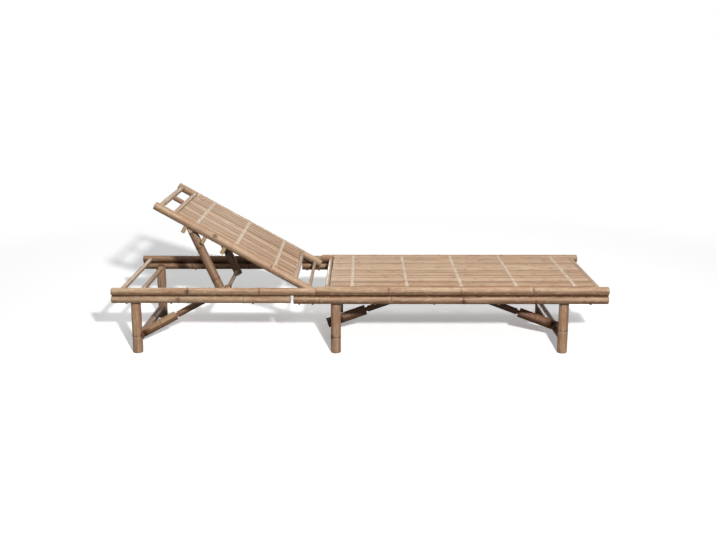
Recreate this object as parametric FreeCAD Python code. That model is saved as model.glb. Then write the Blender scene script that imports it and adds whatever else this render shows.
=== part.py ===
import FreeCAD, Part
import math
import os

# Bamboo folding sun lounger with an adjustable backrest.
# Millimetres. X runs from the head end (-X) to the foot end (+X), Z is up.
# The origin is on the floor under the middle of the bed.

vec = FreeCAD.Vector
along_x = vec(1, 0, 0)
along_y = vec(0, 1, 0)
along_z = vec(0, 0, 1)

# overall size
total_length = 2000.0
total_width = 650.0
rail_split_height = 251.0       # where the upper rail lies on the lower rail

# clearances
fit_gap = 0.05                  # radial, round rod in a bored hole
rest_gap = 0.3                  # between curved pieces that lie against each other
joint_gap = 0.5                 # between pole ends that meet in line

# bamboo culm: the nodes stand proud of the stretches between them
node_rise = 0.9
node_half_width = 3.0
node_slope = 5.0
eye_rise = 0.5                  # the rounded end of a pole stands proud of the pole by this much
end_bore_ratio = 0.55           # hollow end radius as a share of the pole radius
end_bore_depth = 32.0

# side rails
seat_upper_radius = 19.0
seat_lower_radius = 18.0
head_upper_radius = 16.5
head_lower_radius = 16.5
upper_splice_x = -177.0         # head upper rail meets seat upper rail
lower_splice_x = -273.0         # head lower rail meets seat lower rail
lower_splice_gap = 12.0
rail_nodes = ((288.0, 308.0), (290.0, 292.0), (261.0, 271.0), (290.0, 103.0))   # pitch and first node
rail_node_shift = -46.0         # of the left-hand rails
rail_peg_radius = 4.0
rail_peg_proud = 2.0
rail_peg_places = (
    -total_length / 2 + 60.0,
    -760.0,
    -430.0,
    -244.0,
    -190.0,
    60.0,
    300.0,
    560.0,
    total_length / 2 - 70.0,
)

# crossbars between the side rails
crossbar_radius = 12.5
head_crossbar_radius = 10.5
tenon_radius = 8.0
tenon_depth = 12.0
end_crossbar_inset = 37.0       # from the ends of the rails
head_crossbar_x = -total_length / 2 + end_crossbar_inset
seat_head_crossbar_x = -132.0
seat_foot_crossbar_x = total_length / 2 - end_crossbar_inset
seat_crossbar_radius = 10.5
crossbar_nodes = ((-130.0, 95.0), (-60.0, 190.0), (-170.0, 70.0))   # head, seat head, seat foot

# seat deck
seat_batten_radius = 9.0
batten_tenon_radius = 6.0
seat_batten_shares = (0.0922, 0.2941, 0.4941, 0.6968, 0.9123)   # of the way between the crossbars
slat_thickness = 5.0
slat_edge = 1.6
slat_gap = 1.4
seat_slat_count = 26
seat_slat_top = 287.0
lashing_width = 13.0
lashing_thickness = 1.4

# backrest
axle_x = -205.0
axle_radius = 7.0
axle_end_cover = 6.0
recline_angle = 29.4
back_rail_radius = 17.0
back_side_gap = 1.5             # between the backrest rail and the seat rail
back_head_inset = 93.0          # lying flat, from the ends of the side rails
back_length = axle_x + total_length / 2 - back_head_inset
back_tail = 30.0                # rail beyond the axle
back_bar_radius = 11.5
back_bar_rise = 3.0             # bars sit a little above the rails' centre line
top_bar_place = back_length - 20.0
second_bar_place = back_length - 84.0
bottom_bar_place = 69.0
back_bar_nodes = ((-150.0, 60.0), (-95.0, 140.0), (-40.0, 170.0))   # top, second, bottom
back_rail_node_pitch = 236.0
back_rail_first_nodes = (150.0, 204.0)   # left, right
back_batten_radius = 8.5
back_batten_shares = (0.272, 0.558, 0.845)   # of the way from the axle to the second bar
back_slat_count = 23
back_slat_rise = 16.0           # slat tops above the rails' centre line
middle_bar_radius = 11.0

# prop that holds the backrest up
prop_foot_x = -558.0
prop_foot_height = 230.0
prop_foot_rod_radius = 9.0
prop_length = 304.0             # foot rod to top rod
prop_pole_radius = 15.5
prop_pole_side_room = 12.0      # between the prop poles and the backrest rails
prop_pole_tail = 19.0
prop_pole_nodes = ((118.0, 262.0), (96.0, 241.0))   # left, right
prop_rod_radius = 10.5
catch_peg_radius = 8.0
catch_peg_drop = 27.0           # below the underside of the rail
catch_peg_side_gap = 1.5
catch_play = 3.0
catch_pitch = 88.0
catch_count = 3

# folding legs
leg_radius = 20.3
leg_node_height = 73.0
leg_node_pitch = 118.0
head_leg_inset = 88.0           # from the head ends of the rails
foot_leg_inset = 169.0          # from the foot ends of the rails
leg_pivot_height = 230.0
leg_pivot_radius = 10.0
stretcher_radius = 15.5
stretcher_tenon_radius = 9.0
stretcher_tenon_depth = 28.0
stretcher_peg_radius = 2.5
side_play = 1.0                 # along a rod, between pieces that turn on it

# braces: an anchor rod under the bed, a thin strut, a neck and a thick tube
# that is notched over the stretcher
brace_anchor_x = 366.0
brace_anchor_height = 230.0
brace_anchor_radius = 9.0
strut_radius = 14.0
neck_radius = 9.0
neck_show = 8.0
neck_seat = 20.0
tube_node_share = 0.62          # node places as shares of the lengths
strut_node_share = 0.45
notch_gap = 0.8
notch_half_depth = 60.0
notch_last_fold = 24            # leg fold, degrees, at which the stretcher is clear of the tube
notch_step = 4

# each leg set: leg position, anchor position, stretcher height, side position of the brace
# at the stretcher and at the anchor, tube radius, tube length, tube beyond the stretcher,
# tube axis above the stretcher, and how far the brace is lifted per degree that the legs fold
leg_sets = (
    (
        "head", -total_length / 2 + head_leg_inset, prop_foot_x, 52.0, -195.0, -85.0,
        19.0, 190.0, 28.0, 5.0, 0.33,
    ),
    (
        "middle", -98.0, brace_anchor_x, 77.0, -50.0, 8.0,
        22.5, 174.0, 44.0, 2.0, 0.215,
    ),
    (
        "foot", total_length / 2 - foot_leg_inset, brace_anchor_x, 61.0, -88.0, -45.0,
        21.5, 190.0, 28.0, 3.0, 0.245,
    ),
)

sides = (("left", 1.0), ("right", -1.0))

half_length = total_length / 2
rail_y = total_width / 2 - seat_upper_radius
leg_y = rail_y - seat_lower_radius - side_play / 2 - leg_radius
seat_batten_places = [
    seat_head_crossbar_x + share * (seat_foot_crossbar_x - seat_head_crossbar_x)
    for share in seat_batten_shares
]
back_batten_places = [second_bar_place * share for share in back_batten_shares]
seat_upper_z = rail_split_height + seat_upper_radius
seat_lower_z = rail_split_height - seat_lower_radius
head_upper_z = rail_split_height + head_upper_radius
head_lower_z = rail_split_height - head_lower_radius
axle_z = head_upper_z
seat_batten_z = seat_slat_top - slat_thickness - seat_batten_radius
batten_rise = back_slat_rise - slat_thickness - back_batten_radius
back_rail_y = rail_y - seat_upper_radius - back_side_gap - back_rail_radius
prop_pole_y = back_rail_y - back_rail_radius - prop_pole_side_room - prop_pole_radius
cross_hole_length = 120.0       # of a cutter that passes right through a pole
tilt = math.radians(recline_angle)


def save(shape, name):
    shape.exportStep("parts/" + name + ".step")
    print(name, len(shape.Solids), round(shape.Volume))


def rod(start, direction, length, radius):
    """Plain round rod."""
    return Part.makeCylinder(radius, length, start, direction)


def bore(center, direction, radius, length=cross_hole_length):
    """Round cutter centred on a point."""
    unit = vec(direction).normalize()
    return Part.makeCylinder(radius, length, center - unit * (length / 2), unit)


def turned(profile):
    """Solid turned about local Z from (radius, height) points; its seam keeps clear of cross holes."""
    seam = FreeCAD.Rotation(along_z, 40).multVec(along_x)
    low = vec(0, 0, profile[0][1])
    high = vec(0, 0, profile[-1][1])
    points = [seam * radius + along_z * height for radius, height in profile]
    face = Part.Face(Part.makePolygon([low] + points + [high, low]))
    return face.revolve(vec(0, 0, 0), along_z, 360)


def place(shape, start, direction):
    """Turn local Z to the direction and move the origin to the start."""
    turn = FreeCAD.Rotation(along_z, vec(direction))
    shape.Placement = FreeCAD.Placement(vec(start), turn)
    return shape


def culm(start, direction, length, radius, nodes, open_start=True, open_end=True):
    """Bamboo pole with proud nodes and hollow ends."""
    thin = radius - node_rise
    profile = [(thin, 0.0)]
    for place_along in sorted(nodes):
        profile.append((thin, place_along - node_half_width - node_slope))
        profile.append((radius, place_along - node_half_width))
        profile.append((radius, place_along + node_half_width))
        profile.append((thin, place_along + node_half_width + node_slope))
    profile.append((thin, length))
    pole = turned(profile)
    hollow = radius * end_bore_ratio
    if open_start:
        pole = pole.cut(rod(vec(0, 0, 0), along_z, end_bore_depth, hollow))
    if open_end:
        pole = pole.cut(rod(vec(0, 0, length - end_bore_depth), along_z, end_bore_depth, hollow))
    return place(pole, start, direction)


def tenoned_bar(center, half_span, radius, tenon, depth, nodes=()):
    """Crossbar along Y with a thinner tenon at each end, centred on a point."""
    thin = radius - node_rise
    profile = [(tenon, -half_span - depth), (tenon, -half_span), (thin, -half_span)]
    for place_along in sorted(nodes):
        profile.append((thin, place_along - node_half_width - node_slope))
        profile.append((radius, place_along - node_half_width))
        profile.append((radius, place_along + node_half_width))
        profile.append((thin, place_along + node_half_width + node_slope))
    profile += [(thin, half_span), (tenon, half_span), (tenon, half_span + depth)]
    return place(turned(profile), center, along_y)


def cut_all(shape, cutters):
    for cutter in cutters:
        shape = shape.cut(cutter)
    return shape


def group(shapes):
    return shapes[0] if len(shapes) == 1 else Part.makeCompound(shapes)


def even_nodes(length, pitch, first):
    """Node places along a pole."""
    places = []
    at = first
    while at < length - 2 * (node_half_width + node_slope):
        places.append(at)
        at += pitch
    return places


def back_point(along, above, y=0.0):
    """Point on the backrest: distance from the axle and height over the rails' centre line."""
    x = axle_x - along * math.cos(tilt) + above * math.sin(tilt)
    z = axle_z + along * math.sin(tilt) + above * math.cos(tilt)
    return vec(x, y, z)


back_way = vec(-math.cos(tilt), 0, math.sin(tilt))
back_up = vec(math.sin(tilt), 0, math.cos(tilt))

# the top rod of the prop lies under the inner edges of the backrest rails
prop_rod_half = back_rail_y - catch_peg_radius - catch_peg_side_gap
rod_bite = back_rail_y - prop_rod_half
rail_under_rod = math.sqrt(back_rail_radius ** 2 - rod_bite ** 2)
prop_rod_drop = rail_under_rod + prop_rod_radius + rest_gap


def prop_rod_along():
    """Distance from the axle to the top rod, where the prop length meets the rails."""
    foot = vec(prop_foot_x, 0, prop_foot_height)
    base = back_point(0, -prop_rod_drop) - foot
    toward = base.dot(back_way)
    return -toward + math.sqrt(toward ** 2 - base.dot(base) + prop_length ** 2)


prop_rod_place = prop_rod_along()
prop_top = back_point(prop_rod_place, -prop_rod_drop)
prop_foot = vec(prop_foot_x, 0, prop_foot_height)
catch_places = [
    prop_rod_place + prop_rod_radius + catch_peg_radius + catch_play - step * catch_pitch
    for step in range(catch_count)
]


def crossing_cutters(side):
    """Holes in the side rails for everything that passes into them."""
    cutters = []
    for x, z in (
        (head_crossbar_x, head_upper_z),
        (seat_head_crossbar_x, seat_upper_z),
        (seat_foot_crossbar_x, seat_upper_z),
    ):
        reach = rail_inner(x) + tenon_depth
        cutters.append(blind_bore(x, z, side, reach, tenon_radius))
    for x in seat_batten_places:
        cutters.append(blind_bore(x, seat_batten_z, side, rail_inner(x) + tenon_depth, batten_tenon_radius))
    for leg_set in leg_sets:
        cutters.append(blind_bore(leg_set[1], leg_pivot_height, side, rail_y, tenon_radius))
    cutters.append(blind_bore(prop_foot_x, prop_foot_height, side, rail_y, prop_foot_rod_radius))
    cutters.append(blind_bore(brace_anchor_x, brace_anchor_height, side, rail_y, brace_anchor_radius))
    cutters.append(blind_bore(axle_x, axle_z, side, rail_y + axle_end_cover, axle_radius))
    for x in rail_peg_places:
        cutters.append(bore(vec(x, side * rail_y, rail_split_height), along_z, rail_peg_radius + fit_gap))
    return cutters


def rail_inner(x):
    """Inner face of the upper side rail at a place along the bed."""
    return rail_y - (seat_upper_radius if x > upper_splice_x else head_upper_radius)


def blind_bore(x, z, side, reach, radius):
    """Hole along Y that ends at the given distance from the middle of the bed."""
    start = vec(x, side * (reach + fit_gap), z)
    return Part.makeCylinder(radius + fit_gap, reach / 2, start, vec(0, -side, 0))


def side_rails(name, side):
    y = side * rail_y
    cutters = crossing_cutters(side)
    upper_gap = joint_gap / 2
    lower_gap = lower_splice_gap / 2
    head_end = -half_length
    foot_end = half_length
    runs = (
        ("head_upper_rail_", head_end, upper_splice_x - upper_gap, head_upper_z, head_upper_radius),
        ("seat_upper_rail_", upper_splice_x + upper_gap, foot_end, seat_upper_z, seat_upper_radius),
        ("head_lower_rail_", head_end, lower_splice_x - lower_gap, head_lower_z, head_lower_radius),
        ("seat_lower_rail_", lower_splice_x + lower_gap, foot_end, seat_lower_z, seat_lower_radius),
    )
    for (label, start, end, z, radius), (pitch, first) in zip(runs, rail_nodes):
        length = end - start
        shift = rail_node_shift if side > 0 else 0.0
        nodes = even_nodes(length, pitch, first + shift)
        at_head = start == head_end
        pole = culm(vec(start, y, z), along_x, length, radius, nodes, at_head, not at_head)
        save(cut_all(pole, cutters), label + name)


def rail_pegs(name, side):
    """Dowels driven up through the lower rail into the upper one."""
    pegs = []
    for x in rail_peg_places:
        upper = seat_upper_radius if x > upper_splice_x else head_upper_radius
        lower = seat_lower_radius if x > lower_splice_x else head_lower_radius
        bottom = rail_split_height - 2 * lower - rail_peg_proud
        top = rail_split_height + upper
        pegs.append(rod(vec(x, side * rail_y, bottom), along_z, top - bottom, rail_peg_radius))
    save(group(pegs), "rail_pegs_" + name)


def frame_crossbars():
    bars = (
        ("head_end_crossbar", head_crossbar_x, head_upper_z, head_crossbar_radius),
        ("seat_head_crossbar", seat_head_crossbar_x, seat_upper_z, seat_crossbar_radius),
        ("seat_foot_crossbar", seat_foot_crossbar_x, seat_upper_z, crossbar_radius),
    )
    for (name, x, z, radius), nodes in zip(bars, crossbar_nodes):
        half_span = rail_inner(x)
        save(tenoned_bar(vec(x, 0, z), half_span, radius, tenon_radius, tenon_depth, nodes), name)


def seat_deck():
    inner = rail_y - seat_upper_radius
    battens = [
        tenoned_bar(vec(x, 0, seat_batten_z), inner, seat_batten_radius, batten_tenon_radius, tenon_depth)
        for x in seat_batten_places
    ]
    save(group(battens), "seat_battens")
    pitch = 2 * (inner - side_play) / seat_slat_count
    start = seat_head_crossbar_x + seat_crossbar_radius + joint_gap
    end = seat_foot_crossbar_x - crossbar_radius - joint_gap
    slats = []
    for number in range(seat_slat_count):
        y = -inner + side_play + (number + 0.5) * pitch
        foot = vec(start, y, seat_slat_top - slat_thickness)
        slats.append(slat(pitch - slat_gap, end - start, foot, along_x, along_z))
    save(group(slats), "seat_slats")
    strips = []
    for x in seat_batten_places:
        corner = vec(x - lashing_width / 2, -inner + side_play, seat_slat_top)
        strips.append(Part.makeBox(lashing_width, 2 * (inner - side_play), lashing_thickness, corner))
    save(group(strips), "seat_lashings")


def slat(width, length, start, way, up):
    """Split bamboo slat with its two upper edges bevelled; start is the middle of its lower face."""
    across = vec(up).cross(way)
    half = width / 2
    outline = [
        (-half, 0.0),
        (half, 0.0),
        (half, slat_thickness - slat_edge),
        (half - slat_edge, slat_thickness),
        (-half + slat_edge, slat_thickness),
        (-half, slat_thickness - slat_edge),
    ]
    points = [start + across * a + vec(up) * b for a, b in outline]
    face = Part.Face(Part.makePolygon(points + [points[0]]))
    return face.extrude(vec(way) * length)


def back_bar(along, radius, half_span, nodes=()):
    bar = tenoned_bar(vec(0, 0, 0), half_span, radius, tenon_radius, tenon_depth, nodes)
    bar.Placement = FreeCAD.Placement(back_point(along, back_bar_rise), bar.Placement.Rotation)
    return bar


def back_blind_bore(along, above, side, reach, radius):
    start = back_point(along, above, side * (reach + fit_gap))
    return Part.makeCylinder(radius + fit_gap, reach / 2, start, vec(0, -side, 0))


def backrest():
    inner = back_rail_y - back_rail_radius
    bar_places = (top_bar_place, second_bar_place, bottom_bar_place)
    for (name, side), first_node in zip(sides, back_rail_first_nodes):
        start = back_point(-back_tail, 0, side * back_rail_y)
        length = back_length + back_tail
        nodes = even_nodes(length, back_rail_node_pitch, first_node)
        pole = culm(start, back_way, length, back_rail_radius, nodes)
        cutters = [bore(vec(axle_x, side * back_rail_y, axle_z), along_y, axle_radius + fit_gap)]
        reach = inner + tenon_depth
        for along in bar_places:
            cutters.append(back_blind_bore(along, back_bar_rise, side, reach, tenon_radius))
        for along in back_batten_places:
            cutters.append(back_blind_bore(along, batten_rise, side, reach, batten_tenon_radius))
        for along in catch_places:
            cutters.append(catch_peg(along, side, fit_gap))
        save(cut_all(pole, cutters), "backrest_rail_" + name)
    save(back_bar(top_bar_place, back_bar_radius, inner, back_bar_nodes[0]), "backrest_top_bar")
    second = back_bar(second_bar_place, back_bar_radius, inner, back_bar_nodes[1])
    middle_length = top_bar_place - second_bar_place
    middle = rod(back_point(second_bar_place, back_bar_rise), back_way, middle_length, middle_bar_radius)
    tight = back_bar_radius + fit_gap
    for along in (second_bar_place, top_bar_place):
        middle = middle.cut(bore(back_point(along, back_bar_rise), along_y, tight))
    save(second, "backrest_second_bar")
    save(middle, "headrest_middle_bar")
    save(back_bar(bottom_bar_place, back_bar_radius, inner, back_bar_nodes[2]), "backrest_bottom_bar")
    battens = []
    for along in back_batten_places:
        batten = tenoned_bar(vec(0, 0, 0), inner, back_batten_radius, batten_tenon_radius, tenon_depth)
        batten.Placement = FreeCAD.Placement(back_point(along, batten_rise), batten.Placement.Rotation)
        battens.append(batten)
    save(group(battens), "backrest_battens")
    backrest_slats(inner)
    for name, side in sides:
        save(group([catch_peg(along, side, 0.0) for along in catch_places]), "catch_pegs_" + name)


def catch_peg(along, side, extra):
    """Dowel that hangs from the backrest rail and stops the prop's top rod."""
    base = back_point(along, 0, side * back_rail_y)
    return rod(base, back_up * -1, back_rail_radius + catch_peg_drop, catch_peg_radius + extra)


def backrest_slats(inner):
    pitch = 2 * (inner - side_play) / back_slat_count
    start = bottom_bar_place + back_bar_radius + joint_gap
    end = second_bar_place - back_bar_radius - joint_gap
    slats = []
    for number in range(back_slat_count):
        y = -inner + side_play + (number + 0.5) * pitch
        foot = back_point(start, back_slat_rise - slat_thickness, y)
        slats.append(slat(pitch - slat_gap, end - start, foot, back_way, back_up))
    save(group(slats), "backrest_slats")
    strips = []
    for along in back_batten_places:
        corner = back_point(along + lashing_width / 2, back_slat_rise, -inner + side_play)
        strip = Part.makeBox(lashing_width, 2 * (inner - side_play), lashing_thickness)
        strip.Placement = FreeCAD.Placement(corner, FreeCAD.Rotation(along_y, recline_angle))
        strips.append(strip)
    save(group(strips), "backrest_lashings")


def backrest_axle():
    half = rail_y + axle_end_cover
    save(rod(vec(axle_x, -half, axle_z), along_y, 2 * half, axle_radius), "backrest_axle")


def prop():
    way = prop_top - prop_foot
    for (name, side), nodes in zip(sides, prop_pole_nodes):
        unit = vec(way).normalize()
        y = vec(0, side * prop_pole_y, 0)
        start = prop_foot + y - unit * prop_pole_tail
        length = prop_length + prop_pole_tail + prop_pole_radius
        pole = culm(start, unit, length, prop_pole_radius, nodes, True, False)
        pole = rounded_end(pole, prop_top + y, unit, prop_pole_radius)
        pole = pole.cut(bore(prop_foot + y, along_y, prop_foot_rod_radius + fit_gap))
        pole = pole.cut(bore(prop_top + y, along_y, prop_rod_radius + fit_gap))
        save(pole, "prop_pole_" + name)
    top_rod = culm(
        prop_top - along_y * prop_rod_half,
        along_y,
        2 * prop_rod_half,
        prop_rod_radius + node_rise,
        (),
    )
    save(top_rod, "prop_top_rod")
    foot_rod = rod(vec(prop_foot_x, -rail_y, prop_foot_height), along_y, 2 * rail_y, prop_foot_rod_radius)
    save(foot_rod, "prop_foot_rod")


def rounded_end(pole, center, unit, radius):
    """Round the end of a pole about a cross axis through the given point."""
    big = 4 * radius
    block = Part.makeBox(big, big, big, vec(-big / 2, -big / 2, 0))
    block = place(block, center, unit)
    return pole.cut(block.cut(bore(center, along_y, radius - node_rise + eye_rise, 8 * radius)))


def leg_set(name, leg_x, anchor_x, stretcher_z, *brace_sizes):
    leg_nodes = (leg_node_height, leg_node_height + leg_node_pitch)
    for side_name, side in sides:
        foot = vec(leg_x, side * leg_y, 0)
        pole = culm(foot, along_z, leg_pivot_height + leg_radius, leg_radius, leg_nodes, True, False)
        pivot = foot + along_z * leg_pivot_height
        pole = rounded_end(pole, pivot, along_z, leg_radius)
        pole = pole.cut(bore(pivot, along_y, leg_pivot_radius + fit_gap))
        tenon_hole = Part.makeCylinder(
            stretcher_tenon_radius + fit_gap,
            leg_y,
            vec(leg_x, side * (stretcher_tip() + fit_gap), stretcher_z),
            vec(0, -side, 0),
        )
        pole = pole.cut(tenon_hole)
        pole = pole.cut(stretcher_peg(leg_x, side, stretcher_z, fit_gap))
        save(pole, name + "_leg_" + side_name)
    half = leg_y - leg_radius
    bar = tenoned_bar(
        vec(leg_x, 0, stretcher_z),
        half,
        stretcher_radius + node_rise,
        stretcher_tenon_radius,
        stretcher_tip() - half,
    )
    pegs = []
    for _, side in sides:
        bar = bar.cut(stretcher_peg(leg_x, side, stretcher_z, fit_gap))
        pegs.append(stretcher_peg(leg_x, side, stretcher_z, 0.0))
    save(bar, name + "_stretcher")
    save(group(pegs), name + "_stretcher_pegs")
    pivot_half = leg_y + leg_radius + side_play / 2
    pivot_rod = tenoned_bar(
        vec(leg_x, 0, leg_pivot_height),
        pivot_half,
        leg_pivot_radius + node_rise,
        tenon_radius,
        rail_y - pivot_half,
    )
    save(pivot_rod, name + "_pivot_rod")
    brace(name, leg_x, anchor_x, stretcher_z, *brace_sizes)


def stretcher_tip():
    return leg_y - leg_radius + stretcher_tenon_depth


def stretcher_peg(leg_x, side, z, extra):
    start = vec(leg_x - leg_radius, side * leg_y, z)
    return rod(start, along_x, 2 * leg_radius, stretcher_peg_radius + extra)


def brace(name, leg_x, anchor_x, stretcher_z, brace_y, anchor_y, *tube_sizes):
    tube_radius, tube_length, tube_beyond, tube_rise, lift = tube_sizes
    anchor = vec(anchor_x, anchor_y, prop_foot_height if anchor_x == prop_foot_x else brace_anchor_height)
    stretcher = vec(leg_x, brace_y, stretcher_z)
    over_stretcher = stretcher + along_z * tube_rise
    heading = 1.0 if anchor_x > leg_x else -1.0
    way = (anchor - over_stretcher).normalize()
    tube_start = over_stretcher - way * tube_beyond
    tube = culm(tube_start, way, tube_length, tube_radius, (tube_length * tube_node_share,), True, False)
    route = stretcher_route(leg_x, anchor, stretcher, heading, lift)
    for near, far in zip(route, route[1:]):
        tube = tube.cut(notch(near, far))
    neck_start = tube_start + way * (tube_length - neck_seat)
    tube = tube.cut(rod(neck_start, way, neck_seat, neck_radius + fit_gap))
    save(tube, name + "_brace_tube")
    neck_length = 2 * neck_seat + neck_show
    save(rod(neck_start, way, neck_length, neck_radius), name + "_brace_neck")
    strut_start = tube_start + way * (tube_length + neck_show)
    strut_length = (anchor - strut_start).dot(way) + strut_radius
    strut_node = strut_length * strut_node_share
    strut = culm(strut_start, way, strut_length, strut_radius, (strut_node,), False, False)
    strut = rounded_end(strut, anchor, way, strut_radius)
    strut = strut.cut(rod(strut_start, way, neck_seat, neck_radius + fit_gap))
    eye = prop_foot_rod_radius if anchor_x == prop_foot_x else brace_anchor_radius
    strut = strut.cut(bore(anchor, along_y, eye + fit_gap))
    save(strut, name + "_brace_strut")


def stretcher_route(leg_x, anchor, stretcher, heading, lift):
    """Places of the stretcher, seen from the brace, as the legs start to fold."""
    drop = leg_pivot_height - stretcher.z
    places = []
    for fold in range(0, notch_last_fold + 1, notch_step):
        angle = math.radians(fold)
        x = leg_x + heading * drop * math.sin(angle)
        center = vec(x, stretcher.y, leg_pivot_height - drop * math.cos(angle))
        back_turn = FreeCAD.Rotation(along_y, -heading * lift * fold)
        places.append(anchor + back_turn.multVec(center - anchor))
    return places


def notch(near, far):
    """Slot for the stretcher from one of its places to the next."""
    radius = stretcher_radius + notch_gap
    out = vec(far - near).normalize()
    across = out.cross(along_y)
    corner = near - across * radius - along_y * notch_half_depth
    points = [corner, corner + across * (2 * radius)]
    step = far - near
    points += [points[1] + step, points[0] + step]
    slot = Part.Face(Part.makePolygon(points + [points[0]])).extrude(along_y * (2 * notch_half_depth))
    ends = [bore(center, along_y, radius, 2 * notch_half_depth) for center in (near, far)]
    return slot.fuse(ends)


def brace_anchor_bar():
    bar = rod(vec(brace_anchor_x, -rail_y, brace_anchor_height), along_y, 2 * rail_y, brace_anchor_radius)
    save(bar, "brace_anchor_bar")


os.makedirs("parts", exist_ok=True)
for side_name, side_sign in sides:
    side_rails(side_name, side_sign)
    rail_pegs(side_name, side_sign)
frame_crossbars()
seat_deck()
backrest_axle()
backrest()
prop()
for values in leg_sets:
    leg_set(*values)
brace_anchor_bar()
print("backrest angle", recline_angle, "prop rod at", round(prop_rod_place, 2), "catches", catch_places)
print("prop top", prop_top, "axle", axle_x, axle_z)
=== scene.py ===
import bpy
import math
import random
from mathutils import Matrix, Vector


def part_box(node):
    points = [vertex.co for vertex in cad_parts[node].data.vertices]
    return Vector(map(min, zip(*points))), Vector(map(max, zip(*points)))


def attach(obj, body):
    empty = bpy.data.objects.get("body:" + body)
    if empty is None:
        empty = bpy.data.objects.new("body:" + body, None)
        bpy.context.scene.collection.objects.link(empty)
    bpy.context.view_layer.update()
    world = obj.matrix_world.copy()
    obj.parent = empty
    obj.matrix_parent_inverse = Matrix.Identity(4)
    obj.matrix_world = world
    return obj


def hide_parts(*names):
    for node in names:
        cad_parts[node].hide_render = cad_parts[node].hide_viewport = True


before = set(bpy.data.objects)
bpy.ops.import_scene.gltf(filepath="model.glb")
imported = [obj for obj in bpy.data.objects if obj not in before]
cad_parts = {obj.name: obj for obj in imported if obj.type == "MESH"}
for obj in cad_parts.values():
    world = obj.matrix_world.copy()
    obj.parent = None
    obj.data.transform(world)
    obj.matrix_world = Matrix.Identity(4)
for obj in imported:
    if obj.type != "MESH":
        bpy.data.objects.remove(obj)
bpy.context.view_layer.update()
mm = 0.001
alongX, alongY, alongZ = Vector((1, 0, 0)), Vector((0, 1, 0)), Vector((0, 0, 1))
white = (1, 1, 1, 1)
print("frame loaded:", len(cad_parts), "nodes")


# colours and shader nodes

# screen colour, 0 to 255, as a linear shader colour
def rgb(red, green, blue):
    parts = [value / 255 for value in (red, green, blue)]
    return tuple(p / 12.92 if p < 0.04045 else ((p + 0.055) / 1.055) ** 2.4 for p in parts) + (1,)


# node helpers for one material
class finish:
    def __init__(self, name):
        self.material = bpy.data.materials.new(name)
        self.material.use_nodes = True
        self.nodes = self.material.node_tree.nodes
        self.links = self.material.node_tree.links
        self.skin = self.nodes["Principled BSDF"]

    def link(self, a, b):
        self.links.new(a, b)

    def attribute(self, name, output="Fac"):
        node = self.nodes.new("ShaderNodeAttribute")
        node.attribute_name = name
        return node.outputs[output]

    def stretched(self, vector, scale):
        node = self.nodes.new("ShaderNodeVectorMath")
        node.operation = "MULTIPLY"
        node.inputs[1].default_value = scale
        self.link(vector, node.inputs[0])
        return node.outputs[0]

    # length of a place, or its distance from another one
    def measure(self, kind, place, other=(0, 0, 0)):
        node = self.nodes.new("ShaderNodeVectorMath")
        node.operation = kind
        node.inputs[1].default_value = other
        self.link(place, node.inputs[0])
        return node.outputs["Value"]

    # two shaders into one, by sum or by share
    def blended(self, kind, *parts):
        node = self.nodes.new(kind)
        for socket, part in zip(node.inputs, parts):
            self.link(part, socket)
        return node.outputs[0]

    def noise(self, vector, scale, detail, rough):
        node = self.nodes.new("ShaderNodeTexNoise")
        node.inputs["Scale"].default_value = 1
        node.inputs["Detail"].default_value = detail
        node.inputs["Roughness"].default_value = rough
        self.link(self.stretched(vector, scale), node.inputs["Vector"])
        return node.outputs[0]

    def ramp(self, value, *stops):
        node = self.nodes.new("ShaderNodeValToRGB")
        band = node.color_ramp
        while len(band.elements) < len(stops):
            band.elements.new(0.5)
        for element, (place, colour) in zip(band.elements, stops):
            element.position = place
            element.color = colour
        self.link(value, node.inputs[0])
        return node.outputs[0]

    def scaled(self, value, low, high, toLow, toHigh, blend="LINEAR"):
        node = self.nodes.new("ShaderNodeMapRange")
        node.interpolation_type = blend
        node.inputs["From Min"].default_value = low
        node.inputs["From Max"].default_value = high
        node.inputs["To Min"].default_value = toLow
        node.inputs["To Max"].default_value = toHigh
        self.link(value, node.inputs["Value"])
        return node.outputs[0]

    def math(self, kind, a, b):
        node = self.nodes.new("ShaderNodeMath")
        node.operation = kind
        for socket, value in zip(node.inputs, (a, b)):
            if isinstance(value, (int, float)):
                socket.default_value = value
            else:
                self.link(value, socket)
        return node.outputs[0]

    def mix(self, factor, a, b, blend="MIX"):
        node = self.nodes.new("ShaderNodeMix")
        node.data_type = "RGBA"
        node.blend_type = blend
        node.clamp_result = False
        for socket, value in zip((node.inputs[0], node.inputs[6], node.inputs[7]), (factor, a, b)):
            if isinstance(value, (int, float, tuple)):
                socket.default_value = value
            else:
                self.link(value, socket)
        return node.outputs[2]

    def bump(self, height, distance, strength):
        node = self.nodes.new("ShaderNodeBump")
        node.inputs["Distance"].default_value = distance
        node.inputs["Strength"].default_value = strength
        self.link(height, node.inputs["Height"])
        self.link(node.outputs[0], self.skin.inputs["Normal"])


# camera, light, floor

view = {
    "place": (0.0031, -4.1726, 1.2509),
    "pitchDown": 0.2273,
    "turn": 0.0027,
    "lens": 49.91,
}
camData = bpy.data.cameras.new("photoCamera")
cam = bpy.data.objects.new("photoCamera", camData)
bpy.context.scene.collection.objects.link(cam)
camData.lens = view["lens"]
camData.sensor_width = 36
cam.location = view["place"]
cam.rotation_euler = (math.pi / 2 - view["pitchDown"], 0, view["turn"])
bpy.context.scene.camera = cam
bpy.context.scene.view_settings.view_transform = "Standard"

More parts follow.
